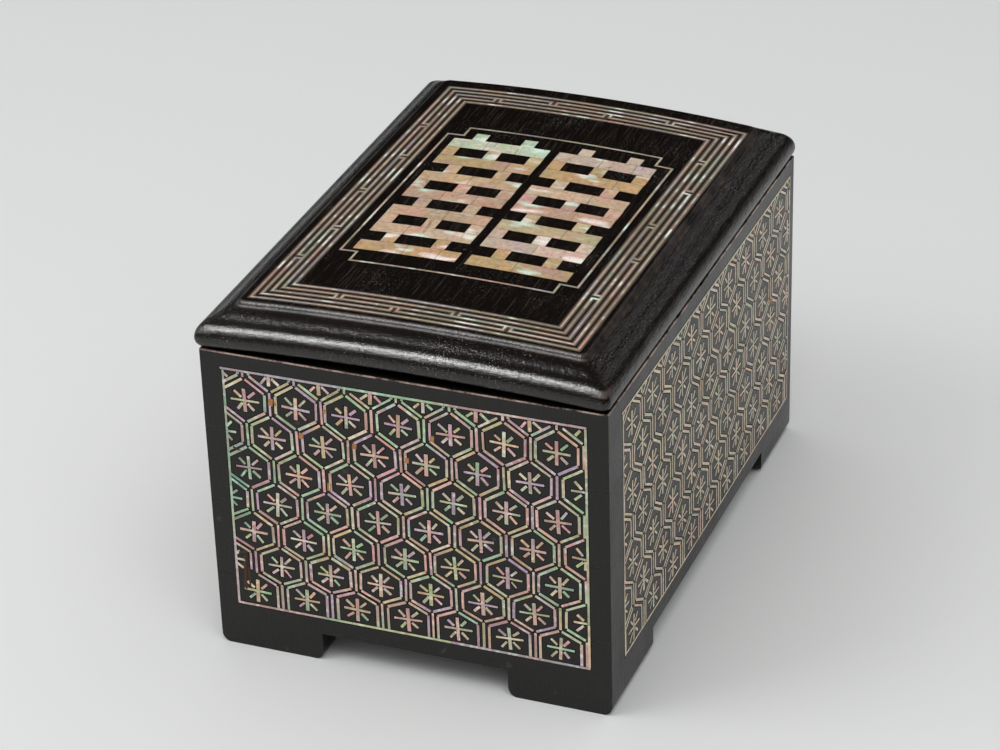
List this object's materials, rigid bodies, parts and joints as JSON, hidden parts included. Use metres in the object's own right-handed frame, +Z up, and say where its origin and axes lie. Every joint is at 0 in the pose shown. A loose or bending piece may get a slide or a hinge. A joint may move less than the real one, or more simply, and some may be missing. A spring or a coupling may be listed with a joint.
{
  "type": "shell-inlaid box",
  "caption": "Oblong lidded box on bracket feet, black lacquer inlaid with pearl shell, with a bowed and moulded lid that lifts off, for keeping small valuables.",
  "frame": {"origin": "on the ground, under the middle of the box", "axes": "+Z up; the front, one of the narrow ends, faces -Y; +Y along the length towards the back; +X to the right as seen from the front"},
  "size_m": [0.173, 0.245, 0.1582],
  "materials": {
    "lacquer": "black lacquer over wood, worn satin",
    "shell": "polished pearl shell"
  },
  "bodies": {
    "root": {"front_board": "lacquer", "back_board": "lacquer", "left_board": "lacquer", "right_board": "lacquer", "bottom_board": "lacquer", "front_panel_frame": "shell", "back_panel_frame": "shell", "left_panel_frame": "shell", "right_panel_frame": "shell", "lid": "lacquer", "lid_border_outer_line": "shell", "lid_border_brickwork": "shell", "lid_border_inner_line": "shell", "lid_cartouche_line": "shell", "lid_lattice_left": "shell", "lid_lattice_right": "shell"}
  },
  "joints": []
}
